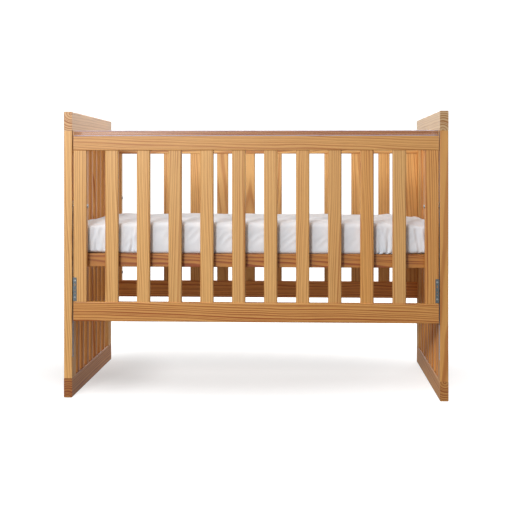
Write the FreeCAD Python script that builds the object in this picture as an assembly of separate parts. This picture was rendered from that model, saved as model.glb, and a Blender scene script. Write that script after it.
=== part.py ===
import FreeCAD, Part
import os
from FreeCAD import Vector

# Baby crib in solid pine with one drop side. Millimetres, +Z up.
# Origin: middle of the footprint, on the floor. +X runs along the length,
# the drop side is at the front (-Y), the fixed side at the back (+Y).
# Frame joints are real stub tenons in mortises, dowels in the end panels, and bolts
# where the crib comes apart.

# Overall sizes
LENGTH = 1376.0
DEPTH = 756.0
HEIGHT = 1030.0

# End panels
END_T = 30.0
END_RAIL_H = 70.0
END_STILE_W = 66.0
END_SLATS = 7
END_SLAT_W = 32.0
END_SLAT_T = 22.0

# Long sides
SIDE_T = 26.0
SIDE_RECESS = 2.0
SIDE_Z0 = 275.0
SIDE_Z1 = 960.0
SIDE_RAIL_H = 70.0
RUN_GAP = 4.0
DROP_STILE_W = 48.0
BACK_STILE_W = 50.0
SIDE_SLATS = 10
SLAT_W = 48.0
SLAT_T = 20.0

# Tenons and edge roundings
SLAT_TENON_L = 12.0
STILE_TENON_L = 25.0
SHOULDER = 5.0
FRAME_R = 3.0
SLAT_R = 5.0

# Mattress base
BASE_Z0 = 469.0
BASE_Z1 = 517.0
BASE_Y = 344.0
BASE_T = 22.0
LATHS = 11
LATH_W = 60.0
LATH_T = 10.0
LATH_PITCH = 118.0
LATH_SEAT = 10.0

# Mattress and fitted sheet
MATTRESS_X = 650.0
MATTRESS_Y = 344.0
MATTRESS_T = 111.0
MATTRESS_R = 16.0
SHEET_T = 1.0
SHEET_HEM = 90.0

# Drop side guides
PIVOT_Z = 690.0
PIN_Z = 390.5
PIN_R = 4.0
PIN_OFFSET = -4.6
CHANNEL_W = 21.0
CHANNEL_D = 12.0
CHANNEL_T = 1.5
CHANNEL_Z0 = 144.0
CHANNEL_Z1 = 710.0
GLIDE_H = 36.0
GLIDE_GAP = 0.3
PIVOT_FIT = 0.05
CATCH_T = 0.8

# Corner brackets on the drop side
BRACKET_Z0 = 348.0
BRACKET_Z1 = 433.0
BRACKET_LEG = 13.5
BRACKET_T = 1.5

# Teething strip
STRIP_T = 1.5
STRIP_LIP = 18.0
STRIP_END = 6.0

# Derived positions
X_END = LENGTH / 2.0
X_IN = X_END - END_T
Y_FRONT = -DEPTH / 2.0
Y_DROP0 = Y_FRONT + SIDE_RECESS
Y_DROP1 = Y_DROP0 + SIDE_T
Y_DROP = (Y_DROP0 + Y_DROP1) / 2.0
Y_PIN = Y_DROP + PIN_OFFSET
X_DROP = X_IN - RUN_GAP

parts = {}


def box(x0, x1, y0, y1, z0, z1):
    """A plain block between two corners, given in any order."""
    lo = Vector(min(x0, x1), min(y0, y1), min(z0, z1))
    return Part.makeBox(abs(x1 - x0), abs(y1 - y0), abs(z1 - z0), lo)


def along(shape, axis):
    """The straight edges of a shape that run along one axis."""
    picked = []
    for e in shape.Edges:
        d = e.Vertexes[-1].Point.sub(e.Vertexes[0].Point)
        if d.Length > 1e-6 and abs(d.dot(axis)) > 0.999 * d.Length:
            picked.append(e)
    return picked


def bar(x0, x1, y0, y1, z0, z1, axis, radius):
    """A planed bar with its four long edges rounded over."""
    b = box(x0, x1, y0, y1, z0, z1)
    return b.makeFillet(radius, along(b, axis))


def rod(radius, length, start, axis):
    return Part.makeCylinder(radius, length, start, axis)


def joined(shapes):
    """Several solids kept apart in one named piece."""
    return Part.makeCompound(list(shapes))


X = Vector(1, 0, 0)
Y = Vector(0, 1, 0)
Z = Vector(0, 0, 1)
SIDES = (("left", -1), ("right", 1))


def hex_socket(across, depth, start, axis):
    """The hexagon recess for an Allen key, as a solid to cut away."""
    side = Vector(0, 1, 0) if abs(axis.z) < 0.5 else Vector(1, 0, 0)
    pts = []
    for k in range(7):
        turn = FreeCAD.Rotation(axis, 60.0 * k)
        pts.append(start.add(turn.multVec(side).multiply(across / 3 ** 0.5)))
    return Part.Face(Part.makePolygon(pts)).extrude(Vector(axis).multiply(depth))


def bolt(under_head, axis, head_r, head_h, shank_r, length):
    """Round-headed bolt. The shank runs along axis from under_head."""
    back = Vector(axis).multiply(-head_h)
    head = rod(head_r, head_h, under_head.add(back), axis)
    top = [e for e in head.Edges if e.Length > 6.0 * head_r - 1.0 and e.Closed
           and e.BoundBox.Center.sub(under_head.add(back)).Length < 0.1]
    head = head.makeFillet(1.2, top)
    shank = rod(shank_r, length, under_head, axis)
    socket = hex_socket(head_r * 0.75, head_h * 0.6, under_head.add(back), axis)
    return head.fuse(shank).removeSplitter().cut(socket)


def screw(top, axis, head_r, shank_r, length):
    """Countersunk wood screw with a cross recess, head flush with top."""
    depth = head_r - shank_r
    head = Part.makeCone(head_r, shank_r, depth, top, axis)
    shank = rod(shank_r, length - depth - 2.0, top.add(Vector(axis).multiply(depth)), axis)
    tip_at = top.add(Vector(axis).multiply(length - 2.0))
    tip = Part.makeCone(shank_r, 0.3, 2.0, tip_at, axis)
    return head.fuse([shank, tip]).removeSplitter()


def cross_recess(top, axis, size, depth):
    """The cross slot of a screw head, as a solid to cut away."""
    ups = (Y, Z) if abs(axis.x) > 0.5 else (X, Z)
    slots = []
    for up in ups:
        flat = axis.cross(up)
        corner = top.sub(Vector(up).multiply(size / 2.0)).sub(Vector(flat).multiply(0.35))
        edge = Part.makeLine(corner, corner.add(Vector(up).multiply(size)))
        face = edge.extrude(Vector(flat).multiply(0.7))
        slots.append(face.extrude(Vector(axis).multiply(depth)))
    return slots[0].fuse(slots[1])


# ---------------------------------------------------------------- long sides
def side_panel(name, y0, half_length, stile_w):
    """Rails across the full width, stiles and slats tenoned between them."""
    y1 = y0 + SIDE_T
    ym = (y0 + y1) / 2.0
    z_low = SIDE_Z0 + SIDE_RAIL_H
    z_high = SIDE_Z1 - SIDE_RAIL_H
    low = bar(-half_length, half_length, y0, y1, SIDE_Z0, z_low, X, FRAME_R)
    high = bar(-half_length, half_length, y0, y1, z_high, SIDE_Z1, X, FRAME_R)
    holes = []
    for word, s in SIDES:
        x_out = s * half_length
        x_in = s * (half_length - stile_w)
        stile = bar(x_out, x_in, y0, y1, z_low, z_high, Z, FRAME_R)
        xa = min(x_out, x_in) + 9.0
        xb = max(x_out, x_in) - 9.0
        tenon = box(xa, xb, ym - 6, ym + 6, z_low - STILE_TENON_L, z_high + STILE_TENON_L)
        stile = stile.fuse(tenon).removeSplitter()
        parts["%s_%s_stile" % (name, word)] = stile
        holes.append(tenon)
    clear = 2.0 * (half_length - stile_w)
    gap = (clear - SIDE_SLATS * SLAT_W) / (SIDE_SLATS + 1)
    for k in range(SIDE_SLATS):
        xa = -clear / 2.0 + gap + k * (SLAT_W + gap)
        slat = bar(xa, xa + SLAT_W, ym - SLAT_T / 2, ym + SLAT_T / 2, z_low, z_high, Z, SLAT_R)
        tenon = box(xa + SHOULDER, xa + SLAT_W - SHOULDER, ym - 5, ym + 5,
                    z_low - SLAT_TENON_L, z_high + SLAT_TENON_L)
        parts["%s_slat_%02d" % (name, k + 1)] = slat.fuse(tenon).removeSplitter()
        holes.append(tenon)
    parts["%s_bottom_rail" % name] = low.cut(holes)
    parts["%s_top_rail" % name] = high.cut(holes)


side_panel("front", Y_DROP0, X_DROP, DROP_STILE_W)
side_panel("back", -Y_DROP1, X_IN, BACK_STILE_W)


# ---------------------------------------------------------------- end panels
dowels = []
for word, s in SIDES:
    xa = s * X_IN
    xb = s * X_END
    xm = (xa + xb) / 2.0
    z_low = END_RAIL_H
    z_high = HEIGHT - END_RAIL_H
    low = bar(xa, xb, Y_FRONT, -Y_FRONT, 0, z_low, Y, FRAME_R)
    high = bar(xa, xb, Y_FRONT, -Y_FRONT, z_high, HEIGHT, Y, FRAME_R)
    y_in = -Y_FRONT - END_STILE_W
    front = bar(xa, xb, Y_FRONT, -y_in, z_low, z_high, Z, FRAME_R)
    back = bar(xa, xb, y_in, -Y_FRONT, z_low, z_high, Z, FRAME_R)
    pins = []
    for face in (z_low, z_high):
        for side in (-1, 1):
            for off in (14.0, 50.0):
                y_pin = side * (y_in + off)
                pins.append(rod(5.0, 60.0, Vector(xm, y_pin, face - 30.0), Z))
    dowels.extend(pins)
    slats = []
    tenons = []
    gap = (2.0 * y_in - END_SLATS * END_SLAT_W) / (END_SLATS + 1)
    for k in range(END_SLATS):
        ya = -y_in + gap + k * (END_SLAT_W + gap)
        slat = bar(xm - END_SLAT_T / 2, xm + END_SLAT_T / 2, ya, ya + END_SLAT_W,
                   z_low, z_high, Z, SLAT_R)
        tenon = box(xm - 5, xm + 5, ya + SHOULDER, ya + END_SLAT_W - SHOULDER,
                    z_low - SLAT_TENON_L, z_high + SLAT_TENON_L)
        slats.append(slat.fuse(tenon).removeSplitter())
        tenons.append(tenon)
    parts["%s_end_bottom_rail" % word] = low.cut(tenons + pins)
    parts["%s_end_top_rail" % word] = high.cut(tenons + pins)
    parts["%s_end_front_stile" % word] = front.cut(pins)
    parts["%s_end_back_stile" % word] = back.cut(pins)
    parts["%s_end_slats" % word] = joined(slats)
parts["end_panel_dowels"] = joined(dowels)


# ---------------------------------------------------------------- mattress base
long_rails = {}
for word, s in (("front", -1), ("back", 1)):
    long_rails[word] = bar(-X_IN, X_IN, s * BASE_Y, s * (BASE_Y - BASE_T),
                           BASE_Z0, BASE_Z1, X, 2.0)
y_rail = BASE_Y - BASE_T
for word, s in SIDES:
    cross = bar(s * X_IN, s * (X_IN - BASE_T), -y_rail, y_rail, BASE_Z0, BASE_Z1, Y, 2.0)
    xm = s * (X_IN - BASE_T / 2.0)
    tenon = box(xm - 6, xm + 6, -y_rail - 6, y_rail + 6, BASE_Z0 + 9, BASE_Z1 - 12)
    parts["base_%s_rail" % word] = cross.fuse(tenon).removeSplitter()
    for key in long_rails:
        long_rails[key] = long_rails[key].cut(tenon)
laths = []
for k in range(LATHS):
    xm = (k - (LATHS - 1) / 2.0) * LATH_PITCH
    lath = bar(xm - LATH_W / 2, xm + LATH_W / 2, -y_rail - LATH_SEAT, y_rail + LATH_SEAT,
               BASE_Z1 - LATH_T, BASE_Z1, Y, 1.5)
    laths.append(lath)
    seat = box(xm - LATH_W / 2, xm + LATH_W / 2, -y_rail - LATH_SEAT, y_rail + LATH_SEAT,
               BASE_Z1 - LATH_T, BASE_Z1 + 5)
    for key in long_rails:
        long_rails[key] = long_rails[key].cut(seat)
parts["base_laths"] = joined(laths)

# Base bolts: from the outside of the end stiles into barrel nuts in the long rails
bolts = []
nuts = []
z_bolt = (BASE_Z0 + BASE_Z1) / 2.0
for word, s in SIDES:
    inward = Vector(-s, 0, 0)
    for key, t in (("front", -1), ("back", 1)):
        y_bolt = t * (BASE_Y - BASE_T / 2.0)
        seat_at = Vector(s * (X_END - 4.0), y_bolt, z_bolt)
        bolts.append(bolt(seat_at, inward, 6.5, 4.0, 3.0, 80.0))
        pocket = rod(6.8, 4.0, seat_at, Vector(s, 0, 0))
        shank = rod(3.0, 80.0, seat_at, inward)
        nut_at = Vector(s * (X_IN - 44.0), t * (BASE_Y - BASE_T), z_bolt)
        nut = rod(5.0, 18.0, nut_at, Vector(0, t, 0))
        nuts.append(nut.cut(shank))
        long_rails[key] = long_rails[key].cut([nut, shank])
        stile = "%s_end_%s_stile" % (word, key)
        parts[stile] = parts[stile].cut([pocket, shank])
parts["base_front_rail"] = long_rails["front"]
parts["base_back_rail"] = long_rails["back"]
parts["base_bolts"] = joined(bolts)
parts["base_barrel_nuts"] = joined(nuts)


# ---------------------------------------------------------------- fixed side bolts
bolts = []
inserts = []
for word, s in SIDES:
    outward = Vector(s, 0, 0)
    for z_bolt in (380.0, 700.0):
        head_at = Vector(s * (X_IN - BACK_STILE_W), -Y_DROP, z_bolt)
        bolts.append(bolt(head_at, outward, 6.0, 3.5, 3.0, BACK_STILE_W + 15.0))
        hole = rod(3.0, BACK_STILE_W + 15.0, head_at, outward)
        insert = rod(5.0, 16.0, Vector(s * X_IN, -Y_DROP, z_bolt), outward)
        inserts.append(insert.cut(rod(3.0, 15.0, Vector(s * X_IN, -Y_DROP, z_bolt), outward)))
        stile = "back_%s_stile" % word
        parts[stile] = parts[stile].cut(hole)
        post = "%s_end_back_stile" % word
        parts[post] = parts[post].cut(insert)
parts["fixed_side_bolts"] = joined(bolts)
parts["fixed_side_inserts"] = joined(inserts)


# ---------------------------------------------------------------- drop side guides
channel_screws = []
bracket_screws = []
pivot_bolts = []
glides = []
catches = []
for word, s in SIDES:
    outward = Vector(s, 0, 0)
    inward = Vector(-s, 0, 0)
    x_base = s * (X_IN + CHANNEL_D)
    x_floor = s * (X_IN + CHANNEL_D - CHANNEL_T)
    ya = Y_DROP - CHANNEL_W / 2.0
    yb = Y_DROP + CHANNEL_W / 2.0
    block = box(s * X_IN, x_base, ya, yb, CHANNEL_Z0, CHANNEL_Z1)
    hollow = box(s * (X_IN - 1), x_floor, ya + CHANNEL_T, yb - CHANNEL_T,
                 CHANNEL_Z0 + CHANNEL_T, CHANNEL_Z1 - CHANNEL_T)
    channel = block.cut(hollow)
    post = "%s_end_front_stile" % word
    parts[post] = parts[post].cut(block)

    # Leaf catch: a foot under one screw, a leaf up the front flange, a lip under the pin
    x_foot = s * (X_IN + CHANNEL_D - CHANNEL_T - CATCH_T)
    y_leaf = ya + CHANNEL_T
    lip_z = PIN_Z - PIN_R - 0.5
    foot = box(x_floor, x_foot, y_leaf, y_leaf + 13.0, 296.0, 316.0)
    leaf = box(x_floor, s * (X_IN + 1.0), y_leaf, y_leaf + CATCH_T, 296.0, lip_z)
    lip = box(x_floor, s * (X_IN + 1.0), y_leaf, y_leaf + 6.0, lip_z - CATCH_T, lip_z)
    catch = foot.fuse([leaf, lip]).removeSplitter()

    y_screw = y_leaf + 8.0
    for z_screw, top in ((190.0, x_floor), (306.0, x_foot), (600.0, x_floor)):
        y_at = y_screw if z_screw == 306.0 else Y_DROP
        at = Vector(top, y_at, z_screw)
        one = screw(at, outward, 3.5, 1.75, 16.0)
        channel = channel.cut(one)
        catch = catch.cut(one)
        parts[post] = parts[post].cut(one)
        channel_screws.append(one.cut(cross_recess(at, outward, 3.4, 1.2)))
    parts["%s_guide_channel" % word] = channel
    catches.append(catch)

    # Pivot bolt through the drop-side stile, and the nylon glide it turns in
    at = Vector(s * (X_DROP - DROP_STILE_W), Y_DROP, PIVOT_Z)
    length = X_IN + 9.3 - (X_DROP - DROP_STILE_W)
    pivot_bolts.append(bolt(at, outward, 6.5, 4.0, PIN_R, length))
    stile = "front_%s_stile" % word
    parts[stile] = parts[stile].cut(rod(PIN_R, length, at, outward))
    half = CHANNEL_W / 2.0 - CHANNEL_T - GLIDE_GAP
    glide = bar(s * (X_IN + 1.0), s * (X_IN + 9.8), Y_DROP - half, Y_DROP + half,
                PIVOT_Z - GLIDE_H / 2, PIVOT_Z + GLIDE_H / 2, X, 2.5)
    glides.append(glide.cut(rod(PIN_R + PIVOT_FIT, 40.0, at.add(Vector(s * 40, 0, 0)), outward)))

    # Steel corner bracket: one leg on the stile's face, one on its edge with the lower pin
    x_edge = s * X_DROP
    x_out = s * (X_DROP + BRACKET_T)
    y_out = Y_DROP0 - BRACKET_T
    face_leg = box(x_out, s * (X_DROP + BRACKET_T - BRACKET_LEG), y_out, Y_DROP0,
                   BRACKET_Z0, BRACKET_Z1)
    x_inner = s * (X_DROP + BRACKET_T - BRACKET_LEG)
    bevel = []
    for e in along(face_leg, Y):
        c = e.BoundBox.Center
        if abs(c.x - x_inner) < 0.1 and c.z > BRACKET_Z1 - 1:
            bevel.append(e)
    face_leg = face_leg.makeFillet(4.0, bevel)
    edge_leg = box(x_edge, x_out, y_out, Y_DROP0 + 22.0, BRACKET_Z0, BRACKET_Z1)
    plate = face_leg.fuse(edge_leg).removeSplitter()
    bend = []
    for e in along(plate, Z):
        c = e.BoundBox.Center
        if abs(c.x - x_out) < 0.1 and abs(c.y - y_out) < 0.1:
            bend.append(e)
    plate = plate.makeFillet(1.4, bend)
    x_row = s * (X_DROP - 5.7)
    for z_hole in (BRACKET_Z1 - 46.0, BRACKET_Z1 - 57.0):
        plate = plate.cut(rod(1.8, 5.0, Vector(x_row, y_out - 1, z_hole), Y))
    slot = box(x_row - 1.6, x_row + 1.6, y_out - 1, Y_DROP0, BRACKET_Z1 - 32, BRACKET_Z1 - 22)
    plate = plate.cut(slot.makeFillet(1.5, along(slot, Y)))
    pin = rod(PIN_R, 11.0, Vector(x_out, Y_PIN, PIN_Z), outward)
    plate = plate.fuse(pin).removeSplitter()
    for z_screw in (BRACKET_Z0 + 13.5, BRACKET_Z1 - 11.0):
        at = Vector(x_row, y_out, z_screw)
        one = screw(at, Y, 3.5, 1.75, 20.0)
        plate = plate.cut(one)
        parts[stile] = parts[stile].cut(one)
        bracket_screws.append(one.cut(cross_recess(at, Y, 3.4, 1.2)))
    parts["%s_corner_bracket" % word] = plate
parts["channel_screws"] = joined(channel_screws)
parts["catch_springs"] = joined(catches)
parts["pivot_bolts"] = joined(pivot_bolts)
parts["guide_blocks"] = joined(glides)
parts["bracket_screws"] = joined(bracket_screws)


# ---------------------------------------------------------------- teething strip
x_strip = X_DROP - STRIP_END
ya = Y_DROP0 - STRIP_T
yb = Y_DROP1 + STRIP_T
outer = box(-x_strip, x_strip, ya, yb, SIDE_Z1 - STRIP_LIP, SIDE_Z1 + STRIP_T)
tops = [e for e in along(outer, X) if e.BoundBox.Center.z > SIDE_Z1]
outer = outer.makeFillet(FRAME_R + STRIP_T, tops)
lips = [e for e in along(outer, X) if e.BoundBox.Center.z < SIDE_Z1 - STRIP_LIP + 0.1]
outer = outer.makeFillet(0.7, lips)
strip = outer.cut(bar(-X_END, X_END, Y_DROP0, Y_DROP1, SIDE_Z0, SIDE_Z1, X, FRAME_R))
parts["teething_strip"] = strip


# ---------------------------------------------------------------- mattress and sheet
z0 = BASE_Z1 + SHEET_T
core = box(-MATTRESS_X, MATTRESS_X, -MATTRESS_Y, MATTRESS_Y, z0, z0 + MATTRESS_T)
core = core.makeFillet(MATTRESS_R, core.Edges)
parts["mattress"] = core
skin = box(-MATTRESS_X - SHEET_T, MATTRESS_X + SHEET_T, -MATTRESS_Y - SHEET_T,
           MATTRESS_Y + SHEET_T, BASE_Z1, z0 + MATTRESS_T + SHEET_T)
skin = skin.makeFillet(MATTRESS_R + SHEET_T, skin.Edges)
under = box(-MATTRESS_X + SHEET_HEM, MATTRESS_X - SHEET_HEM, -MATTRESS_Y + SHEET_HEM,
            MATTRESS_Y - SHEET_HEM, BASE_Z1 - 5, z0 + 5)
parts["fitted_sheet"] = skin.cut(core).cut(under)


# ---------------------------------------------------------------- write the pieces
os.makedirs("parts", exist_ok=True)
for node in sorted(parts):
    shape = parts[node]
    solids = shape.Solids
    good = all(one.isValid() and one.isClosed() for one in solids)
    print(node, len(solids), "solids", "valid" if good else "NOT VALID")
    shape.exportStep("parts/%s.step" % node)
print("pieces:", len(parts))
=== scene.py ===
import math
import random

import bmesh
import bpy
import numpy as np
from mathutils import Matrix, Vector
from mathutils.bvhtree import BVHTree


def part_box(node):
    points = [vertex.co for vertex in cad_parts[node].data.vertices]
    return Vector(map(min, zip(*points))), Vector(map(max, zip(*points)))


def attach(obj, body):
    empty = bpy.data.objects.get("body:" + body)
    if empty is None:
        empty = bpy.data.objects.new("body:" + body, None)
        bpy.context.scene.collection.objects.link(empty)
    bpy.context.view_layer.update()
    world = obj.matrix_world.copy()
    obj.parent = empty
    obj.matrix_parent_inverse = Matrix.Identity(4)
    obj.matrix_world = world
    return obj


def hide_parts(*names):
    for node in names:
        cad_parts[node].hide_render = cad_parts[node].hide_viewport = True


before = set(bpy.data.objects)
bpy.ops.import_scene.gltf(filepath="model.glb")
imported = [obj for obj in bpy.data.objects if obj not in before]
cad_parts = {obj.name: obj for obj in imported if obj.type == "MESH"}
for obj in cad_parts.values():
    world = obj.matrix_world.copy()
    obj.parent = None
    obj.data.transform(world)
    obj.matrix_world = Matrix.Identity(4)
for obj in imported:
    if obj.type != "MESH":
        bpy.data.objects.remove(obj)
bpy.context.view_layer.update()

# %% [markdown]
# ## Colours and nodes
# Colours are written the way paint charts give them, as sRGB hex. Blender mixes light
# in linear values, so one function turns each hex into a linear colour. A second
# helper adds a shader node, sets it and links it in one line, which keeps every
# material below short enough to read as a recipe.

MM = 0.001


def colour(hex_code, alpha=1.0):
    """An sRGB hex such as "E2B67C" as a linear RGBA tuple."""
    out = []
    for i in (0, 2, 4):
        c = int(hex_code[i:i + 2], 16) / 255.0
        out.append(c / 12.92 if c <= 0.04045 else ((c + 0.055) / 1.055) ** 2.4)
    return (*out, alpha)


def add(tree, kind, settings=None, **inputs):
    """Adds a node. settings are its options; inputs are values, or sockets to link."""
    node = tree.nodes.new("ShaderNode" + kind)
    for key, value in (settings or {}).items():
        setattr(node, key, value)
    for key, value in inputs.items():
        name = key.replace("_", " ")
        slot = node.inputs[int(key[1:])] if key[0] == "i" and key[1:].isdigit() else node.inputs[name]
        if isinstance(value, bpy.types.NodeSocket):
            tree.links.new(value, slot)
        else:
            slot.default_value = value
    return node


def new_material(name):
    """An empty node material and its tree, with the output node ready."""
    made = bpy.data.materials.new(name)
    made.use_nodes = True
    made.node_tree.nodes.clear()
    return made, made.node_tree


def finish_material(made, shader):
    out = made.node_tree.nodes.new("ShaderNodeOutputMaterial")
    made.node_tree.links.new(shader.outputs[0], out.inputs["Surface"])
    return made


def ramp(tree, factor, stops):
    """A colour ramp from a list of (place, grey value)."""
    node = add(tree, "ValToRGB", i0=factor)
    band = node.color_ramp
    while len(band.elements) < len(stops):
        band.elements.new(0.5)
    for element, (place, grey) in zip(band.elements, stops):
        element.position = place
        element.color = (grey, grey, grey, 1.0)
    return node


# %% [markdown]
# ## Camera
# The crib is seen from the front, a little right of the middle and just above the
# mattress, with a longish lens so the two end panels only open slightly. The camera
# stays level, which keeps every upright vertical, and the lens is shifted downwards
# instead of tilting the camera.

# %% Camera
LENS_MM = 72.56
CAMERA_AT = Vector((0.177, -4.061, 0.820))
CAMERA_TURN = 0.0466

eye = bpy.data.cameras.new("camera")
eye.lens = LENS_MM
eye.sensor_width = 36.0
eye.shift_y = -0.168
camera = bpy.data.objects.new("camera", eye)
camera.location = CAMERA_AT
camera.rotation_euler = (math.radians(90.0), 0.0, CAMERA_TURN)
bpy.context.scene.collection.objects.link(camera)
bpy.context.scene.camera = camera
print("camera", tuple(round(v, 3) for v in camera.location), "lens", LENS_MM)

# %% [markdown]
# ## Studio
# A round white cyclorama: a flat floor that curls up into a wall all the way round, so
# the crib stands in the same soft white room from every side. The floor and wall are lit
# from behind like a light table, which keeps them white while the crib's own soft shadow
# still shows. Under the crib the glow is made weaker in an oval, and weaker again in a
# patch beside the left end panel, so part of the floor's shadow there is painted shadow.
# The surface is made by turning one path round the upright axis, which needs no modifier
# and stays seamless.

# %% Studio floor and wall
FLOOR_R = 7.0
COVE_R = 1.5
WALL_TOP = 8.0
MIDDLE_HOLE = 0.01


def turned(name, path, steps=96):
    """A surface made by turning a path of (radius, height) round the upright axis."""
    shape = bmesh.new()
    rings = []
    for radius, z in path:
        ring = []
        for k in range(steps):
            a = 2 * math.pi * k / steps
            ring.append(shape.verts.new((radius * math.cos(a), radius * math.sin(a), z)))
        rings.append(ring)
    for lower, upper in zip(rings, rings[1:]):
        for j in range(steps):
            n = (j + 1) % steps
            shape.faces.new((lower[j], lower[n], upper[n], upper[j]))
    if path[0][0] < 1.0:
        shape.faces.new(rings[0][::-1])
    mesh = bpy.data.meshes.new(name)
    shape.to_mesh(mesh)
    shape.free()
    mesh.shade_smooth()
    made = bpy.data.objects.new(name, mesh)
    bpy.context.scene.collection.objects.link(made)
    made.visible_diffuse = False
    return made


def backlit_paper():
    """Matt white paper with a glow that grows away from the crib, so the weaker glow under it is
    painted shadow. Distances in metres.
    """
    made, tree = new_material("backlit_white_paper")
    place = add(tree, "TexCoord").outputs["Object"]
    mottle = add(tree, "TexNoise", Vector=place, Scale=3.0, Detail=2.0)
    tone = ramp(tree, mottle.outputs["Fac"], [(0.3, 0.43), (0.7, 0.45)])
    # painted shadow: the glow starts low at the middle of an oval under the crib and is full outside
    # it
    painted_shadow_oval = add(tree, "VectorMath", {"operation": "MULTIPLY_ADD"}, i0=place,
               i1=(0.62, 1.25, 1.0), i2=(0.1, -0.2, 0.0))
    away = add(tree, "VectorMath", {"operation": "LENGTH"}, i0=painted_shadow_oval.outputs[0])
    glow = add(tree, "MapRange", {"interpolation_type": "SMOOTHSTEP"},
               Value=away.outputs["Value"], From_Min=0.3, From_Max=1.0, To_Min=0.60,
               To_Max=1.04)
    # painted shadow: the glow is lowered further in a patch beside the left end panel
    beside = add(tree, "VectorMath", {"operation": "MULTIPLY_ADD"}, i0=place,
                 i1=(4.0, 1.9, 1.0), i2=(2.24, -0.1, 0.0))
    painted_shadow_distance = add(tree, "VectorMath", {"operation": "LENGTH"}, i0=beside.outputs[0])
    patch = add(tree, "MapRange", {"interpolation_type": "SMOOTHSTEP"},
                Value=painted_shadow_distance.outputs["Value"], To_Min=-0.19, To_Max=0.0)
    level = add(tree, "Math", i0=glow.outputs[0], i1=patch.outputs[0])
    paint = add(tree, "BsdfPrincipled", Base_Color=tone.outputs["Color"], Roughness=0.95,
                Specular_IOR_Level=0.1, Emission_Color=(1.0, 1.0, 1.0, 1.0),
                Emission_Strength=level.outputs[0])
    return finish_material(made, paint)


paper = backlit_paper()
floor = turned("studio_floor", [(r * FLOOR_R / 8.0 + MIDDLE_HOLE, 0.0) for r in range(9)])
cove = []
for k in range(13):
    a = k / 12 * math.pi / 2
    cove.append((FLOOR_R + MIDDLE_HOLE + COVE_R * math.sin(a), COVE_R * (1 - math.cos(a))))
roof = [(FLOOR_R + COVE_R + MIDDLE_HOLE, WALL_TOP), (0.5, WALL_TOP + 0.5)]
wall = turned("studio_wall", cove + roof)
floor.visible_glossy = False
for part in (floor, wall):
    part.data.materials.append(paper)
print("cyclorama", FLOOR_R + COVE_R, "m in radius and", WALL_TOP, "m high")

# %% [markdown]
# ## Lights
# A soft box at the front left is the key light, a second beside it fills its shadows, one
# overhead lifts the mattress and one behind lights the back. A faint warm one on the
# floor stands for the light that pale wood throws back up on itself. Area lights are
# used throughout, because their size sets how soft each shadow's edge is.

# %% Lights


def soft_box(name, place, aim, size, watts, tint="FFFFFF"):
    """A rectangular area light at place, turned to face aim."""
    lamp = bpy.data.lights.new(name, "AREA")
    lamp.shape = "RECTANGLE"
    lamp.size, lamp.size_y = size
    lamp.energy = watts
    lamp.color = colour(tint)[:3]
    box = bpy.data.objects.new(name, lamp)
    box.location = place
    box.rotation_euler = (Vector(aim) - Vector(place)).to_track_quat("-Z", "Y").to_euler()
    bpy.context.scene.collection.objects.link(box)
    return box


world = bpy.data.worlds.new("white_studio")
world.use_nodes = True
sky = world.node_tree.nodes["Background"]
sky.inputs["Color"].default_value = colour("FFFFFF")
sky.inputs["Strength"].default_value = 0.15
bpy.context.scene.world = world
bpy.context.scene.view_settings.view_transform = "Standard"

CRIB_FRONT = (0.0, -0.2, 0.55)
CRIB_MIDDLE = (0.0, 0.0, 0.5)
soft_box("key_front_left", (-1.4, -4.6, 2.3), CRIB_FRONT, (0.9, 0.9), 118.0)
soft_box("side_fill", (-2.3, -2.6, 2.2), CRIB_FRONT, (1.8, 1.6), 30.0)
soft_box("top_light", (-0.4, -0.2, 3.2), CRIB_MIDDLE, (2.4, 1.6), 24.0)
soft_box("back_light", (1.2, 3.6, 2.6), CRIB_MIDDLE, (2.4, 1.8), 75.0)
soft_box("floor_bounce", (0.1, 0.1, 0.004), (0.1, 0.1, 1.0), (2.2, 1.6), 2.2, "FFEBD8")
print("lights", len(bpy.data.lights))

# %% [markdown]
# ## Lacquered pine
# Every wooden piece is a solid pine board, so its pattern is treated as solid too: rings
# around a pith line that runs beside the board, cut by the board's faces. That one idea
# gives straight lines on quarter-sawn faces, arches on flat-sawn ones and arcs on the
# end grain, with no painting. Pale earlywood fades slowly into a narrow orange
# latewood line and then stops sharply. A fine streak along the grain stands for the
# fibres, and a thin satin lacquer sits on top as the shader's coat. Cut ends soak up
# more finish, so they come out darker, with every ring at full strength.
# Fast-grown pine has rings about 5 to 8 mm wide. Its fibres are far finer than 1 mm, so
# the streaks are drawn coarser, at 1.6 mm by 70 mm, for them to show.

# %% Pine board material
RING_MM = 7.4
FIBRE_MM = (1.6, 70.0)
WANDER_MM = {"X": 26.0, "Y": 15.0, "Z": 15.0}
EARLYWOOD = "E9B36A"
LATEWOOD = "B0641A"
AXIS_ORDER = {"X": ("Y", "Z", "X"), "Y": ("X", "Z", "Y"), "Z": ("X", "Y", "Z")}


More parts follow.
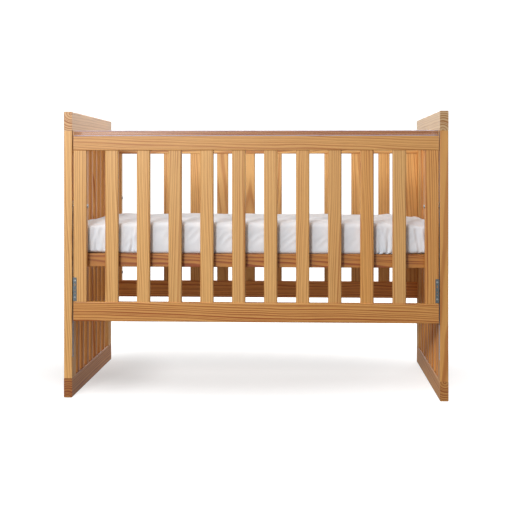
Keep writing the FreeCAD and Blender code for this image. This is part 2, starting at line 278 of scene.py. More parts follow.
def board_space(tree, along, middle, repeat):
    """Each point in mm from the board's middle, with Z turned to lie along the grain.
    repeat is (axis, pitch, first edge) in mm for a node that holds a row of boards, so
    that each board gets its own part of the tree."""
    place = add(tree, "TexCoord").outputs["Object"]
    in_mm = add(tree, "VectorMath", {"operation": "MULTIPLY_ADD"}, i0=place,
                i1=(1000.0, 1000.0, 1000.0), i2=[-v for v in middle])
    split = add(tree, "SeparateXYZ", i0=in_mm.outputs[0])
    local = {axis: split.outputs[axis] for axis in "XYZ"}
    toss = None
    if repeat:
        axis, pitch, start = repeat
        offset = middle["XYZ".index(axis)] - start
        count = add(tree, "Math", {"operation": "MULTIPLY_ADD"}, i0=split.outputs[axis],
                    i1=1.0 / pitch, i2=offset / pitch)
        index = add(tree, "Math", {"operation": "FLOOR"}, i0=count.outputs[0])
        inside = add(tree, "Math", {"operation": "SUBTRACT"}, i0=count.outputs[0],
                     i1=index.outputs[0])
        local[axis] = add(tree, "Math", {"operation": "MULTIPLY_ADD"}, i0=inside.outputs[0],
                          i1=pitch, i2=-pitch / 2).outputs[0]
        toss = add(tree, "TexWhiteNoise", {"noise_dimensions": "1D"}, W=index.outputs[0])
    a, b, c = AXIS_ORDER[along]
    board = add(tree, "CombineXYZ", X=local[a], Y=local[b], Z=local[c])
    where = board.outputs[0]
    if toss:
        shift = add(tree, "VectorMath", {"operation": "MULTIPLY_ADD"}, i0=toss.outputs["Color"],
                    i1=(70.0, 70.0, 900.0), i2=(-35.0, -35.0, 0.0))
        where = add(tree, "VectorMath", i0=where, i1=shift.outputs[0]).outputs[0]
    return where


def tree_space(tree, dice, where, along, pith):
    """The same points measured from the pith, with a slow wander, as (bent, slow)."""
    turn = dice.uniform(0.0, 2.0 * math.pi)
    reach = dice.uniform(38.0, 110.0)
    ring_x, ring_y = pith or (reach * math.cos(turn), reach * math.sin(turn))
    lean = (dice.uniform(-0.03, 0.03), dice.uniform(-0.03, 0.03), 0.0)
    sited = add(tree, "Mapping", {"vector_type": "POINT"}, Vector=where,
                Location=(-ring_x, -ring_y, dice.uniform(0, 3000) if not pith else 0.0),
                Rotation=lean)
    slow = add(tree, "VectorMath", {"operation": "MULTIPLY"}, i0=sited.outputs[0],
               i1=(1 / 80.0, 1 / 80.0, 1 / 420.0))
    wander = add(tree, "TexNoise", Vector=slow.outputs[0], Scale=1.0, Detail=2.0, Roughness=0.45)
    centred = add(tree, "VectorMath", {"operation": "SUBTRACT"}, i0=wander.outputs["Color"],
                  i1=(0.5, 0.5, 0.5))
    pushed = add(tree, "VectorMath", {"operation": "MULTIPLY"}, i0=centred.outputs[0],
                 i1=(WANDER_MM[along], WANDER_MM[along], 0.0))
    bent = add(tree, "VectorMath", i0=sited.outputs[0], i1=pushed.outputs[0])
    return bent, slow


def latewood_lines(tree, bent):
    """0 in the pale early wood of each year, rising slowly to 1 and then stopping."""
    flat = add(tree, "VectorMath", {"operation": "MULTIPLY"}, i0=bent.outputs[0], i1=(1, 1, 0))
    radius = add(tree, "VectorMath", {"operation": "LENGTH"}, i0=flat.outputs[0])
    years = add(tree, "Math", {"operation": "MULTIPLY"}, i0=radius.outputs["Value"],
                i1=1.0 / RING_MM)
    uneven = add(tree, "TexNoise", {"noise_dimensions": "1D"}, W=years.outputs[0], Scale=0.35)
    phase = add(tree, "Math", {"operation": "MULTIPLY_ADD"}, i0=uneven.outputs["Fac"], i1=3.4,
                i2=years.outputs[0])
    cycle = add(tree, "Math", {"operation": "FRACT"}, i0=phase.outputs[0])
    return ramp(tree, cycle.outputs[0], [(0.0, 0.0), (0.34, 0.06), (0.57, 0.45), (0.76, 1.0),
                                         (0.91, 0.85), (1.0, 0.0)])


print("pine rings", RING_MM, "mm")

# %% [markdown]
# ### From rings to a finished board
# The rings choose between the two colours of pine, the fibres shade them, and a shallow
# bump lets the hard latewood lines stand a little proud, as they do on planed pine.
# Bare wood is rougher than lacquered wood and has no coat. IOR 1.5 suits both.

# %% Finished pine


def pine(name, along, seed, middle, repeat=None, lacquered=True, tone=(1, 1, 1), pith=None,
         figure=1.0):
    """Pine with its grain along one axis, ringed about a pith beside middle, in mm.
    tone multiplies red, green and blue; the darker tones given to single boards are mostly
    painted shade, the paler ones painted reflection. pith
    is the offset of the ring centre in mm, and figure says how strongly the rings show
    on the long faces."""
    dice = random.Random(seed)
    made, tree = new_material(name)
    where = board_space(tree, along, middle, repeat)
    bent, slow = tree_space(tree, dice, where, along, pith)
    late = latewood_lines(tree, bent)
    # fibres, long and thin
    thin = add(tree, "VectorMath", {"operation": "MULTIPLY"}, i0=bent.outputs[0],
               i1=(1 / FIBRE_MM[0], 1 / FIBRE_MM[0], 1 / FIBRE_MM[1]))
    fibre = add(tree, "TexNoise", Vector=thin.outputs[0], Scale=1.0, Detail=3.0, Roughness=0.6)
    patch = add(tree, "TexNoise", Vector=slow.outputs[0], Scale=2.1, Detail=1.0)
    # how strongly the rings show: full on the cut ends, in slow patches elsewhere
    facing = add(tree, "SeparateXYZ", i0=add(tree, "TexCoord").outputs["Normal"])
    cut = add(tree, "Math", {"operation": "ABSOLUTE"}, i0=facing.outputs[along])
    thirsty = add(tree, "MapRange", Value=cut.outputs[0], From_Min=0.5, From_Max=0.9,
                  To_Min=1.0, To_Max=0.8)
    strength = add(tree, "MapRange", Value=patch.outputs["Fac"], From_Min=0.3, From_Max=0.7,
                   To_Min=0.62 * figure, To_Max=figure)
    strength = add(tree, "Math", i0=strength.outputs[0], i1=cut.outputs[0])
    amount = add(tree, "Math", {"operation": "MULTIPLY"}, i0=late.outputs["Color"],
                 i1=strength.outputs[0])
    # colour: the rings, then the fibres over them
    chance = 1.0 + 0.04 * dice.uniform(-1.0, 1.0)
    pale = [min(v * chance * t, 0.95) for v, t in zip(colour(EARLYWOOD), tone)]
    dark = [min(v * chance * t, 0.95) for v, t in zip(colour(LATEWOOD), tone)]
    ringed = add(tree, "Mix", {"data_type": "RGBA"}, i0=amount.outputs[0], i6=(*pale, 1.0),
                 i7=(*dark, 1.0))
    streak = add(tree, "MapRange", Value=fibre.outputs["Fac"], From_Min=0.25, From_Max=0.75,
                 To_Min=0.88, To_Max=1.08)
    shade = add(tree, "Math", {"operation": "MULTIPLY"}, i0=streak.outputs[0],
                i1=thirsty.outputs[0])
    wood = add(tree, "VectorMath", {"operation": "SCALE"}, i0=ringed.outputs[2],
               Scale=shade.outputs[0])
    relief = add(tree, "Math", {"operation": "MULTIPLY_ADD"}, i0=late.outputs["Color"], i1=0.5,
                 i2=fibre.outputs["Fac"])
    bump = add(tree, "Bump", Strength=0.35 if lacquered else 0.6, Distance=0.0004,
               Height=relief.outputs[0])
    rough = add(tree, "MapRange", Value=fibre.outputs["Fac"], To_Min=0.36 if lacquered else 0.6,
                To_Max=0.52 if lacquered else 0.8)
    shader = add(tree, "BsdfPrincipled", Base_Color=wood.outputs[0],
                 Roughness=rough.outputs[0], Normal=bump.outputs[0], IOR=1.5,
                 Specular_IOR_Level=0.5,
                 Coat_Weight=0.15 if lacquered else 0.0, Coat_Roughness=0.25)
    return finish_material(made, shader)


def dress(node, material):
    """Puts a material on every slot of a CAD node."""
    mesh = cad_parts[node].data
    if not mesh.materials:
        mesh.materials.append(material)
    for k in range(len(mesh.materials)):
        mesh.materials[k] = material


print("lacquered pine between", EARLYWOOD, "and", LATEWOOD)

# %% [markdown]
# ## Boards of the crib
# Rails run lengthwise, end rails run front to back, stiles and slats stand upright. Each
# board takes the same recipe with its own random pith, so no two look alike, as in a
# stack of real timber. The grain follows the long side of each piece, because
# a board cut across the grain would snap.

# %% Grain direction of every board
GRAIN = {}
for side in ("front", "back"):
    for rail in ("top_rail", "bottom_rail"):
        GRAIN["%s_%s" % (side, rail)] = "X"
    for stile in ("left_stile", "right_stile"):
        GRAIN["%s_%s" % (side, stile)] = "Z"
    for k in range(1, 11):
        GRAIN["%s_slat_%02d" % (side, k)] = "Z"
for end in ("left", "right"):
    for rail in ("top_rail", "bottom_rail"):
        GRAIN["%s_end_%s" % (end, rail)] = "Y"
    for stile in ("front_stile", "back_stile"):
        GRAIN["%s_end_%s" % (end, stile)] = "Z"
GRAIN.update(base_front_rail="X", base_back_rail="X", base_left_rail="Y", base_right_rail="Y")

# what each tone does to red, green and blue. The darker, redder tones are painted shade, on
# boards at the right, at the bottom and under the mattress, which get less light
SHADE_TONE = (0.90, 0.78, 0.58)
DEEP_SHADE_TONE = (0.65, 0.48, 0.27)
# the paler, bluer tones on the two end top rails are painted reflection of the white room on their
# inner faces
PALE_REFLECTION_TONE = (1.06, 1.12, 1.44)
GLARE_TONE = (0.93, 1.14, 1.8)
# left_end_bottom_rail and back_bottom_rail get darker, redder tones of their own, also painted shade;
# front_top_rail and front_slat_07 and 08 are made a little darker
TONE = {"left_end_top_rail": PALE_REFLECTION_TONE, "right_end_top_rail": GLARE_TONE,
        "front_bottom_rail": SHADE_TONE, "front_right_stile": SHADE_TONE,
        "right_end_front_stile": SHADE_TONE, "front_slat_09": SHADE_TONE,
        "left_end_bottom_rail": (0.67, 0.48, 0.28), "right_end_bottom_rail": SHADE_TONE,
        "base_front_rail": DEEP_SHADE_TONE, "base_back_rail": DEEP_SHADE_TONE,
        "base_left_rail": SHADE_TONE, "base_right_rail": SHADE_TONE,
        "back_bottom_rail": (1.0, 0.78, 0.6), "front_top_rail": (0.88, 0.81, 0.70),
        "front_slat_07": (0.94, 0.9, 0.84), "front_slat_08": (0.96, 0.92, 0.86)}
# end rails are sawn close to the pith, so their ends show nearly full circles; mm
PITH = {"left_end_top_rail": (10.0, 30.0), "left_end_bottom_rail": (-6.0, -42.0),
        "right_end_top_rail": (-12.0, -36.0), "right_end_bottom_rail": (8.0, 44.0)}
# how strongly the rings show
UPRIGHT_FIGURE = 0.74
LEVEL_FIGURE = 1.0
FIGURE = {"front_bottom_rail": 1.5, "base_front_rail": 1.4, "left_end_top_rail": 0.55,
          "right_end_top_rail": 0.5, "front_right_stile": 1.0, "front_top_rail": 0.85}


def middle_of(node):
    low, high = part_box(node)
    return [(a + b) / 2 / MM for a, b in zip(low, high)]


for k, node in enumerate(sorted(GRAIN)):
    usual = UPRIGHT_FIGURE if GRAIN[node] == "Z" else LEVEL_FIGURE
    dress(node, pine("pine_" + node, GRAIN[node], 100 + k, middle_of(node),
                     tone=TONE.get(node, (1, 1, 1)), pith=PITH.get(node),
                     figure=FIGURE.get(node, usual)))
# the end slats get a darker, redder tone: painted shade, as they stand in the end panels' own shadow
for k, node in enumerate(("left_end_slats", "right_end_slats")):
    dress(node, pine("pine_" + node, "Z", 300 + k, middle_of(node), ("Y", 82.0, -287.0),
                     tone=(1.0, 0.82, 0.6)))
dress("base_laths", pine("unfinished_pine_laths", "Y", 320, middle_of("base_laths"),
                         ("X", 118.0, -649.0), lacquered=False))
dress("end_panel_dowels", pine("dowel_beech", "Z", 330, middle_of("end_panel_dowels"),
                               lacquered=False))
print("boards dressed:", len(GRAIN) + 4)

# %% [markdown]
# ## Zinc-plated steel and spring steel
# Cheap bed fittings are bent from sheet and zinc plated in a barrel: a grey metal with a
# faint cloudy crystal pattern, neither polished nor brushed. Screws come out of the
# barrel brighter, and the rolled channels are brighter still. The leaf catches are blued
# spring steel. The crystals are a Voronoi pattern of 1 to 3 mm, near their real size.

# %% Metals


def plated(name, shade, rough_low, rough_high, cloud_mm):
    """Zinc plate: cloudy patches change the tint and the roughness a little."""
    made, tree = new_material(name)
    place = add(tree, "TexCoord").outputs["Object"]
    cloud = add(tree, "TexVoronoi", Vector=place, Scale=1.0 / (cloud_mm * MM), Randomness=1.0)
    grain = add(tree, "TexNoise", Vector=place, Scale=1.0 / (0.7 * MM), Detail=3.0)
    tint = add(tree, "Mix", {"data_type": "RGBA"}, i0=cloud.outputs["Distance"],
               i6=colour(shade), i7=[v * 0.72 for v in colour(shade)[:3]] + [1.0])
    rough = add(tree, "MapRange", Value=grain.outputs["Fac"], To_Min=rough_low, To_Max=rough_high)
    bump = add(tree, "Bump", Strength=0.25, Distance=0.0002, Height=grain.outputs["Fac"])
    shader = add(tree, "BsdfPrincipled", Base_Color=tint.outputs[2], Metallic=1.0,
                 Roughness=rough.outputs[0], Normal=bump.outputs[0])
    return finish_material(made, shader)


zinc_sheet = plated("zinc_plated_sheet", "6E7679", 0.38, 0.58, 2.5)
zinc_screw = plated("zinc_plated_screw", "B9BBBB", 0.25, 0.42, 1.2)
zinc_channel = plated("bright_zinc_channel", "D2D0D8", 0.42, 0.6, 2.5)
spring_steel = plated("blued_spring_steel", "6F747B", 0.25, 0.4, 3.0)
for node in ("left_corner_bracket", "right_corner_bracket"):
    dress(node, zinc_sheet)
for node in ("left_guide_channel", "right_guide_channel"):
    dress(node, zinc_channel)
for node in ("channel_screws", "bracket_screws", "base_bolts", "base_barrel_nuts",
             "fixed_side_bolts", "fixed_side_inserts", "pivot_bolts"):
    dress(node, zinc_screw)
dress("catch_springs", spring_steel)
print("zinc crystals 1.2 to 3 mm")

# %% [markdown]
# ### Moulded nylon
# The guide blocks are injection moulded from natural nylon, so they are milky white and
# slightly waxy: a little light goes in and comes out again, which is what subsurface
# does, and the mould leaves a very fine skin texture. Nylon has an IOR of 1.53.

# %% Nylon
made, tree = new_material("moulded_nylon")
place = add(tree, "TexCoord").outputs["Object"]
skin = add(tree, "TexNoise", Vector=place, Scale=1.0 / (0.5 * MM), Detail=2.0)
milk = add(tree, "Mix", {"data_type": "RGBA"}, i0=skin.outputs["Fac"], i6=colour("E9E8E1"),
           i7=colour("DEDCD2"))
bump = add(tree, "Bump", Strength=0.15, Distance=0.0001, Height=skin.outputs["Fac"])
nylon = finish_material(made, add(tree, "BsdfPrincipled", Base_Color=milk.outputs[2],
                                  Roughness=0.42, IOR=1.53, Subsurface_Weight=0.15,
                                  Normal=bump.outputs[0]))
dress("guide_blocks", nylon)
print("nylon texture 0.5 mm")

# %% [markdown]
# ## Clear teething strip
# The strip is an extruded clear vinyl channel, snapped over the top rail so that a baby
# chews plastic and not lacquer. It is drawn as one cross-section swept along the rail:
# a thin skin with a small rolled lip on each edge. A hair of air between strip and
# wood keeps the two surfaces from lying in the same place.

# %% Teething strip
STRIP_SKIN = 1.4
STRIP_AIR = 0.25
STRIP_DROP = 18.0
STRIP_OVERHANG = 4.0


def strip_section(rail_y0, rail_y1, rail_z):
    """Closed outline of the strip in Y and Z, in mm, going round outside then inside."""
    def arc(cy, cz, r, a0, a1, n=8):
        pts = []
        for k in range(n + 1):
            a = math.radians(a0 + (a1 - a0) * k / n)
            pts.append((cy + r * math.cos(a), cz + r * math.sin(a)))
        return pts
    corner = 3.0
    outer = corner + STRIP_AIR + STRIP_SKIN
    inner = corner + STRIP_AIR
    low = rail_z - STRIP_DROP
    pts = arc(rail_y0 - STRIP_AIR - STRIP_SKIN / 2, low + 0.9, 0.95, 350, 130, 9)
    pts += arc(rail_y0 + corner, rail_z - corner, outer, 180, 90)
    pts += arc(rail_y1 - corner, rail_z - corner, outer, 90, 0)
    pts += arc(rail_y1 + STRIP_AIR + STRIP_SKIN / 2, low + 0.9, 0.95, 50, -170, 9)
    pts += arc(rail_y1 - corner, rail_z - corner, inner, 0, 90)
    pts += arc(rail_y0 + corner, rail_z - corner, inner, 90, 180)
    return pts


def sweep_section(name, section, x0, x1, steps):
    """A section in Y and Z swept along X, closed at both ends. Sizes in mm."""
    shape = bmesh.new()
    rings = []
    for k in range(steps + 1):
        x = x0 + (x1 - x0) * k / steps
        rings.append([shape.verts.new((x * MM, y * MM, z * MM)) for y, z in section])
    n = len(section)
    for lower, upper in zip(rings, rings[1:]):
        for j in range(n):
            shape.faces.new((lower[j], lower[(j + 1) % n], upper[(j + 1) % n], upper[j]))
    shape.faces.new(rings[0])
    shape.faces.new(rings[-1])
    bmesh.ops.recalc_face_normals(shape, faces=shape.faces)
    mesh = bpy.data.meshes.new(name)
    shape.to_mesh(mesh)
    shape.free()
    mesh.shade_smooth()
    piece = bpy.data.objects.new(name, mesh)
    bpy.context.scene.collection.objects.link(piece)
    return piece


rail_low, rail_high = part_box("front_top_rail")
strip_low, strip_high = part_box("teething_strip")
section = strip_section(rail_low[1] / MM, rail_high[1] / MM, rail_high[2] / MM)
strip = sweep_section("clear_teething_strip", section, strip_low[0] / MM - STRIP_OVERHANG,
                      strip_high[0] / MM + STRIP_OVERHANG, 40)
print("strip section points", len(section))

# %% [markdown]
# ### Clear vinyl
# Soft PVC, extruded and then stretched on. It is almost clear where it lies flat, so the
# wood shows through a thin film with a pinkish brown tint. Along the rolled lips and over
# the top the film is made paler, lavender and more opaque: a painted highlight for the
# gloss those curved edges catch. Long faint draw lines run down its length. Real
# refraction would turn so thin a skin dark, so the film is an even transparency with a
# gloss on it.

# %% Clear vinyl of the strip

made, tree = new_material("clear_soft_vinyl")
place = add(tree, "TexCoord").outputs["Object"]
height = add(tree, "SeparateXYZ", i0=place)
STRIP_TOP = rail_high[2] + (STRIP_AIR + STRIP_SKIN) * MM
# lip and bend mark where the painted highlight lies: the rolled lips and the band over the top
lip = add(tree, "MapRange", {"interpolation_type": "SMOOTHSTEP"}, Value=height.outputs["Z"],
          From_Min=STRIP_TOP - 18.2 * MM, From_Max=STRIP_TOP - 15.8 * MM, To_Min=1.0, To_Max=0.0)
bend = add(tree, "MapRange", {"interpolation_type": "SMOOTHSTEP"}, Value=height.outputs["Z"],
           From_Min=STRIP_TOP - 3.4 * MM, From_Max=STRIP_TOP - 1.6 * MM, To_Min=0.0, To_Max=1.0)
lip_and_top_highlight = add(tree, "Math", {"operation": "MAXIMUM"}, i0=lip.outputs[0], i1=bend.outputs[0])
pull = add(tree, "VectorMath", {"operation": "MULTIPLY"}, i0=place, i1=(2.0, 60.0, 60.0))
draw = add(tree, "TexNoise", Vector=pull.outputs[0], Scale=1.0, Detail=1.0)
rough = add(tree, "MapRange", Value=draw.outputs["Fac"], To_Min=0.22, To_Max=0.3)
film = add(tree, "MapRange", Value=lip_and_top_highlight.outputs[0], To_Min=0.20, To_Max=0.6)
tint = add(tree, "Mix", {"data_type": "RGBA"}, i0=lip_and_top_highlight.outputs[0], i6=colour("A8685E"),
           i7=colour("DCD0DE"))
bump = add(tree, "Bump", Strength=0.05, Distance=0.0002, Height=draw.outputs["Fac"])
vinyl = finish_material(made, add(tree, "BsdfPrincipled", Base_Color=tint.outputs[2],
                                  Roughness=rough.outputs[0], IOR=1.53, Alpha=film.outputs[0],
                                  Normal=bump.outputs[0]))
strip.data.materials.append(vinyl)
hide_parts("teething_strip")
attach(strip, "drop_side")
print("strip skin", STRIP_SKIN, "mm")

# %% [markdown]
# ## Mattress pad
# Under the sheet is a foam mattress in a sewn ticking cover. A pad like this is never a
# crisp block: the cover pulls the edges in and the foam pushes the panels out. Blender's
# Cloth with a little pressure inside gives that directly, so a slightly small block is
# remeshed into even squares, blown up for a few frames, held to a few millimetres of
# travel and then kept as a plain mesh.

# %% Mattress pad, blown up as cloth
PAD_INSET = 10.0 * MM
PAD_TRAVEL = 6.0 * MM
PAD_VOXEL = 12.0 * MM
PAD_ROUND = 18.0 * MM
PAD_PRESSURE = 4.0
PAD_FRAMES = 20


def rounded_block(name, low, high, radius, segments):
    """A block with all its edges rolled over."""
    shape = bmesh.new()
    bmesh.ops.create_cube(shape, size=1.0)
    for v in shape.verts:
        for i in range(3):
            v.co[i] = low[i] if v.co[i] < 0 else high[i]
    bmesh.ops.bevel(shape, geom=shape.edges[:], offset=radius, segments=segments, profile=0.5,
                    affect="EDGES")
    mesh = bpy.data.meshes.new(name)
    shape.to_mesh(mesh)
    shape.free()
    piece = bpy.data.objects.new(name, mesh)
    bpy.context.scene.collection.objects.link(piece)
    return piece


def apply_modifiers(piece):
    """Keeps the shape the modifiers give, and takes the modifiers off."""
    ready = bpy.context.evaluated_depsgraph_get()
    kept = bpy.data.meshes.new_from_object(piece.evaluated_get(ready))
    piece.modifiers.clear()
    piece.data = kept


def blow_up(piece, pressure, frames, travel, voxel):
    """Remesh, inflate with Cloth, hold every point to within travel of its start."""
    remesh = piece.modifiers.new("even squares", "REMESH")
    remesh.mode = "VOXEL"
    remesh.voxel_size = voxel
    apply_modifiers(piece)
    start = [v.co.copy() for v in piece.data.vertices]
    cloth = piece.modifiers.new("cloth", "CLOTH")
    cloth.settings.use_pressure = True
    cloth.settings.uniform_pressure_force = pressure
    cloth.settings.effector_weights.gravity = 0.0
    cloth.settings.quality = 6
    for k in range(1, frames + 1):
        bpy.context.scene.frame_set(k)
    apply_modifiers(piece)
    for v, home in zip(piece.data.vertices, start):
        step = v.co - home
        if step.length > travel:
            v.co = home + step * (travel / step.length)
    bpy.context.scene.frame_set(1)
    return piece


pad_low, pad_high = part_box("mattress")
pad_low = Vector(pad_low) + Vector((PAD_INSET, PAD_INSET, 0.0))
pad_high = Vector(pad_high) - Vector((PAD_INSET, PAD_INSET, PAD_INSET))
pad = rounded_block("mattress_pad", pad_low, pad_high, PAD_ROUND, 4)
blow_up(pad, PAD_PRESSURE, PAD_FRAMES, PAD_TRAVEL, PAD_VOXEL)
for v in pad.data.vertices:
    v.co.z = max(v.co.z, pad_low[2])
smooth = pad.modifiers.new("fair", "SUBSURF")
smooth.levels = 1
smooth.render_levels = 1
apply_modifiers(pad)
pad.data.shade_smooth()
zs = [v.co.z for v in pad.data.vertices]
print("pad points", len(zs), "height", round((max(zs) - min(zs)) * 1000, 1), "mm")

# %% [markdown]
# ## Fitted sheet
# A fitted cot sheet is one piece of white cotton, cut larger than the mattress top, with
# its corners sewn and an elastic run round the hem. It is drawn as loops that follow
# the mattress outline: from the elastic underneath, out round the lower edge, up
# the side and in over the top. Three things move the loops off the smooth shape: a slow
# sag and swell of the top, fine puckers where the elastic bunches the hem near the
# corners, and upright folds where the corner is loose. The slow sag and the wrinkles
# come from one tool, a sum of many sine waves of random size and direction. A Displace
# modifier with a noise texture would be shorter, but its wrinkles can't be aimed.

# %% Waves for the sheet

class Waves:
    """A random field made of many waves. lean and spread aim them, in radians."""

    def __init__(self, seed, count, longest, shortest, lean=0.0, spread=math.pi):
        dice = np.random.default_rng(seed)
        size = np.exp(dice.uniform(np.log(shortest), np.log(longest), count))
        turn = lean + dice.uniform(-spread, spread, count)
        self.kx = 2 * np.pi / size * np.cos(turn)
        self.ky = 2 * np.pi / size * np.sin(turn)
        self.start = dice.uniform(0, 2 * np.pi, count)
        self.height = (size / longest) ** 0.7
        self.height /= np.sqrt((self.height ** 2).sum() / 2)

    def at(self, x, y):
        total = np.zeros(np.broadcast(x, y).shape)
        for kx, ky, start, height in zip(self.kx, self.ky, self.start, self.height):
            total += height * np.sin(kx * x + ky * y + start)
        return total

    def creased(self, x, y):
        """The same waves folded over, which gives thin ridges between soft hollows."""
        return 1.0 - 1.6 * np.abs(self.at(x, y)) ** 0.8


swell = Waves(3, 12, 640.0, 240.0)
soft = Waves(8, 26, 150.0, 45.0)
slanted = Waves(12, 9, 70.0, 30.0, lean=-0.7, spread=0.5)
fine = Waves(19, 12, 34.0, 13.0, lean=-0.9, spread=0.9)
along_edge = Waves(27, 9, 60.0, 26.0, lean=math.pi / 2, spread=0.28)
upright = Waves(34, 10, 36.0, 15.0, lean=0.0, spread=0.2)
print("longest swell 640 mm, finest wrinkle 13 mm")

# %% [markdown]
# ### Outline and section
# Seen from above, the sheet is a rounded rectangle. Seen end on, it is a hook: a hem
# tucked under the mattress, a rolled foot, an upright side, a rolled edge and a flat
# top. Every loop of the sheet is the rectangle, shrunk by one step of the hook, so these
# two functions hold the whole smooth shape.

# %% Outline and section of the sheet
LOOP_STEP = 4.0
CORNER_R = 34.0
EDGE_R = 17.0
FOOT_R = 12.0
HEM = 80.0
SIDE_STEPS = 18
TOP_STEP = 7.0


def outline(half_x, half_y, corner, count):
    """count points round a rounded rectangle, with outward directions, in mm."""
    straight_x = 2 * (half_x - corner)
    straight_y = 2 * (half_y - corner)
    turn = math.pi / 2 * corner
    total = 2 * straight_x + 2 * straight_y + 4 * turn
    sides = ((half_x - corner, -half_y, straight_x, (1, 0), (0, -1)),
             (half_x, half_y - corner, straight_y, (0, 1), (1, 0)),
             (-half_x + corner, half_y, straight_x, (-1, 0), (0, 1)),
             (-half_x, -half_y + corner, straight_y, (0, -1), (-1, 0)))
    pts = []
    outs = []
    for k in range(count):
        s = total * k / count
        for end_x, end_y, run, way, out in sides:
            if s <= run:
                pts.append((end_x - way[0] * (run - s), end_y - way[1] * (run - s)))
                outs.append(out)
                break
            s -= run
            if s <= turn:
                a = s / corner
                aim = (out[0] * math.cos(a) + way[0] * math.sin(a),
                       out[1] * math.cos(a) + way[1] * math.sin(a))
                pts.append((end_x - out[0] * corner + corner * aim[0],
                            end_y - out[1] * corner + corner * aim[1]))
                outs.append(aim)
                break
            s -= turn
    return np.array(pts), np.array(outs), total


def section_of_sheet(z_low, z_high, half_y):
    """The sheet's path seen end on: how far in, how high and which part of the sheet."""
    path = [(HEM * (1 - k / 9.0) + FOOT_R, z_low, "under") for k in range(9)]
    for k in range(6):
        a = k / 5.0 * math.pi / 2
        path.append((FOOT_R * (1 - math.sin(a)), z_low + FOOT_R * (1 - math.cos(a)), "side"))
    rise = z_high - z_low - FOOT_R - EDGE_R
    for k in range(1, SIDE_STEPS + 1):
        path.append((0.0, z_low + FOOT_R + rise * k / SIDE_STEPS, "side"))
    for k in range(1, 9):
        a = k / 8.0 * math.pi / 2
        path.append((EDGE_R * (1 - math.cos(a)), z_high - EDGE_R * (1 - math.sin(a)), "side"))
    steps = int((half_y - EDGE_R) / TOP_STEP)
    for k in range(1, steps + 1):
        path.append((EDGE_R + (half_y - EDGE_R) * k / steps, z_high, "top"))
    return path


sheet_low, sheet_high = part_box("fitted_sheet")
HALF_X = sheet_high[0] / MM - 2.0
HALF_Y = sheet_high[1] / MM - 2.0
Z_LOW = sheet_low[2] / MM + 0.3
Z_HIGH = sheet_high[2] / MM
count = int(2 * round(2 * (HALF_X + HALF_Y) / LOOP_STEP))
rim, out, total = outline(HALF_X, HALF_Y, CORNER_R, count)
place = np.arange(count) / count * total
print("sheet outline", round(total), "mm round, in", count, "points")

# %% [markdown]
# ### Gathers
# The elastic is sewn in for a hand's breadth or two on both sides of each corner, and
# there it bunches the hem into small sharp puckers. Each one is a narrow dent with a
# raised lip on both sides, which leans a little and fades out above the hem. Four more
# are listed one by one for the front, where the tension of the elastic ends.

# %% Gathers at the hem
GATHER_START = 30.0
GATHER_REACH = 195.0
GATHERS_A_SIDE = 9
FRONT_GATHERS = (-448.0, -420.0, 452.0, 477.0)


def gathers(seed, total, straight_x, straight_y, turn):
    """Creases where the elastic bunches the hem: place, lean, height, width, depth."""
    dice = random.Random(seed)
    found = []
    middle = -turn / 2
    for run in (straight_x, straight_y, straight_x, straight_y):
        for side in (1, -1):
            for k in range(GATHERS_A_SIDE):
                along = (k + dice.uniform(-0.4, 0.4)) / (GATHERS_A_SIDE - 1)
                reach = GATHER_START + GATHER_REACH * along
                at = middle + reach if side > 0 else middle + turn + run - reach
                found.append((at % total, side * dice.uniform(0.05, 0.45),
                              dice.uniform(16.0, 52.0), dice.uniform(2.8, 4.8),
                              dice.uniform(2.6, 6.6) * (1.3 if reach > 150 else 0.9)))
        middle += turn + run
    for x in FRONT_GATHERS:
        found.append((straight_x / 2 + x, dice.uniform(-0.1, 0.2), 46.0, 5.0, 8.0))
    return found


bunches = gathers(5, total, 2 * (HALF_X - CORNER_R), 2 * (HALF_Y - CORNER_R),
                  math.pi / 2 * CORNER_R)


def bunched(height):
    """Depth of the gathers round the whole rim, at one height over the hem."""
    depth = np.zeros(count)
    for at, lean, tall, wide, deep in bunches:
        off = (place - at - lean * height + total / 2) % total - total / 2
        fade = math.exp(-height / tall)
        depth -= deep * fade * np.exp(-(off / wide) ** 2)
        depth += 0.55 * deep * fade * np.exp(-((np.abs(off) - 2.0 * wide) / wide) ** 2)
    return depth


print("gathers", len(bunches), "and deepest at the hem", round(-bunched(0.0).min(), 1), "mm")

# %% [markdown]
# ### Building the sheet
# Now the loops are stacked. The top gets the slow swell, a soft groove just inside the
# edge and a rise at the left rear and the right end, where the cloth stands off the
# foam. The side gets the gathers, slanted wrinkles that are strongest at half height and
# upright folds at the corners. The hem underneath follows the gathers.

# %% Loops of the sheet
CORNER_REACH = 130.0
corner_gap = np.maximum(HALF_X - np.abs(rim[:, 0]), HALF_Y - np.abs(rim[:, 1]))
near = np.exp(-(corner_gap / CORNER_REACH) ** 2)
patchy = np.clip(Waves(41, 8, 420.0, 160.0).at(place, 0.0), 0.0, 1.0)


def crown_of(x, y):
    """How far the top stands above flat, in mm: swell, a rise at the left, a fold at the right."""
    rise = 8.0 * np.exp(-((x + 380) / 300) ** 2) * np.clip((y + 60) / 300, 0, 1)
    fold = 5.0 * np.exp(-((x - 545 + 0.08 * y) / 20.0) ** 2) * np.clip((y + 120) / 200, 0, 1)
    return 2.4 * swell.at(x, y) + rise + fold


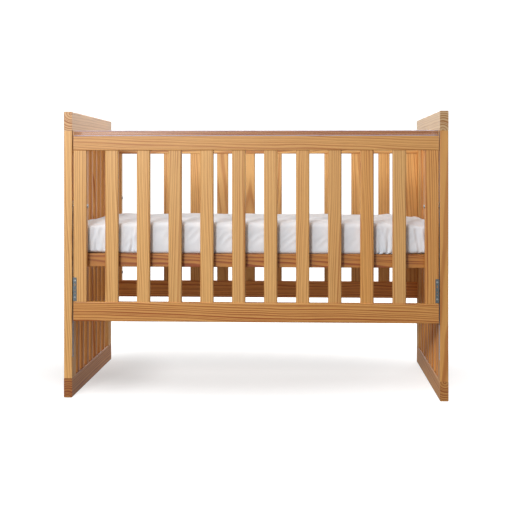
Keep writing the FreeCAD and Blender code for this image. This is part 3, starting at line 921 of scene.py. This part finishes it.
loops = []
for inset, z, kind in section_of_sheet(Z_LOW, Z_HIGH, HALF_Y):
    pts = rim
    if inset > 0:
        half_y = max(HALF_Y - inset, 0.01)
        corner = min(CORNER_R * max(1 - inset / 300.0, 0.05), half_y * 0.98)
        pts, _, _ = outline(HALF_X - min(inset, HALF_Y), half_y, corner, count)
    x, y = pts[:, 0], pts[:, 1]
    h = np.full(count, z, float)
    push = np.zeros(count)
    up = (z - Z_LOW) / (Z_HIGH - Z_LOW)
    crown = crown_of(x, y)
    if kind == "top":
        edge = np.minimum(HALF_X - np.abs(x), HALF_Y - np.abs(y))
        settle = np.clip((edge - 5) / 70.0, 0, 1)
        h += crown * (0.4 + 0.6 * settle) + 2.5 * settle
        h -= 2.2 * np.exp(-((edge - 38) / 11.0) ** 2)
        at_edge = np.exp(-((edge - 45) / 45.0) ** 2)
        h += 0.5 * soft.at(x, y) + 0.9 * along_edge.creased(x, y) * at_edge
        h -= 11.0 * near ** 2 * (1 - settle)
    elif kind == "side":
        h += (crown * 0.4 + 0.5 * soft.at(x, y)) * up ** 3 - 11.0 * near ** 2 * up ** 4
        push += bunched(z - Z_LOW)
        belly = math.sin(math.pi * up)
        push += 0.45 * soft.at(place, z) + 0.75 * slanted.creased(place, z) * belly
        push += 0.5 * np.clip(fine.creased(place, z), 0.0, 1.0) * belly * (0.4 + 0.6 * patchy)
        push += 2.0 * near * np.sin(np.pi * up) ** 0.6 * upright.at(place, z)
        push -= 1.6 * (2 * up - 1) ** 2
        h += 5.0 * near * max(0.0, 1 - up * 5.0)
    else:
        depth = bunched(0.4 * inset)
        h += 0.5 * np.abs(depth) + 5.0 * near * max(0.0, 1 - inset / 30.0)
        push += 0.8 * depth
    loops.append(np.stack([x + out[:, 0] * push, y + out[:, 1] * push, h], 1))
points = np.concatenate(loops) * MM
faces = []
for k in range(len(loops) - 1):
    for j in range(count):
        n = (j + 1) % count
        faces.append((k * count + j, k * count + n, (k + 1) * count + n, (k + 1) * count + j))
mesh = bpy.data.meshes.new("fitted_cotton_sheet")
mesh.from_pydata(points.tolist(), [], faces)
cover = bpy.data.objects.new("fitted_cotton_sheet", mesh)
bpy.context.scene.collection.objects.link(cover)
print("sheet loops", len(loops), "of", count, "points")

# %% [markdown]
# ### Keeping the sheet off the pad
# Cloth can't pass through the mattress. Each point of the sheet looks for the nearest
# place on the pad, and one that is inside or closer than a millimetre is set just
# outside. Then points that fell together at the middle of the top are merged.

# %% Sheet lifted off the pad
CLOTH_GAP = 1.0 * MM
CLOTH_LIFT = 1.2 * MM
MERGE = 0.4 * MM
pad_tree = BVHTree.FromPolygons([v.co[:] for v in pad.data.vertices],
                                [p.vertices[:] for p in pad.data.polygons])
moved = 0
for v in mesh.vertices:
    hit, normal, _, _ = pad_tree.find_nearest(v.co)
    side = (v.co - hit).dot(normal)
    if side < CLOTH_GAP:
        v.co = hit + normal * CLOTH_LIFT
        moved += 1
shape = bmesh.new()
shape.from_mesh(mesh)
bmesh.ops.remove_doubles(shape, verts=shape.verts, dist=MERGE)
bmesh.ops.recalc_face_normals(shape, faces=shape.faces)
shape.to_mesh(mesh)
shape.free()
mesh.shade_smooth()
print(moved, "points lifted off the pad")

# %% [markdown]
# ## Cotton and ticking
# Both are plain weaves. Sheet cotton has about 25 threads to the centimetre, far finer
# than the view can show, so the threads are drawn five times coarser and very shallow.
# Cotton scatters light from its loose fibres, which the sheen stands for.

# %% Woven materials


def woven(name, shade, second, thread_mm, depth, sheen):
    """A plain weave from two crossed sets of ribs, with a slow change of tone."""
    made, tree = new_material(name)
    place = add(tree, "TexCoord").outputs["Object"]
    ribs = []
    for direction in ("X", "Y", "Z"):
        wave = add(tree, "TexWave", {"bands_direction": direction}, Vector=place,
                   Scale=math.pi / 10.0 / (thread_mm * MM), Distortion=0.4, Detail=1.0)
        ribs.append(wave.outputs["Fac"])
    pair = add(tree, "Math", i0=ribs[0], i1=ribs[1])
    cloth = add(tree, "Math", i0=pair.outputs[0], i1=ribs[2])
    slub = add(tree, "TexNoise", Vector=place, Scale=35.0, Detail=3.0)
    tone = add(tree, "Mix", {"data_type": "RGBA"}, i0=slub.outputs["Fac"], i6=colour(shade),
               i7=colour(second))
    bump = add(tree, "Bump", Strength=depth, Distance=0.0003, Height=cloth.outputs[0])
    shader = add(tree, "BsdfPrincipled", Base_Color=tone.outputs[2], Roughness=0.88,
                 Normal=bump.outputs[0], Sheen_Weight=sheen, Sheen_Roughness=0.5,
                 Specular_IOR_Level=0.25)
    return finish_material(made, shader)


cover.data.materials.append(woven("white_sheet_cotton", "F5F8FD", "EBF0F8", 2.0, 0.25, 0.25))
pad.data.materials.clear()
pad.data.materials.append(woven("mattress_ticking", "E9E5DC", "DCD7CC", 3.0, 0.6, 0.1))
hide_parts("fitted_sheet")
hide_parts("mattress")
for piece in (cover, pad):
    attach(piece, "mattress_and_sheet")
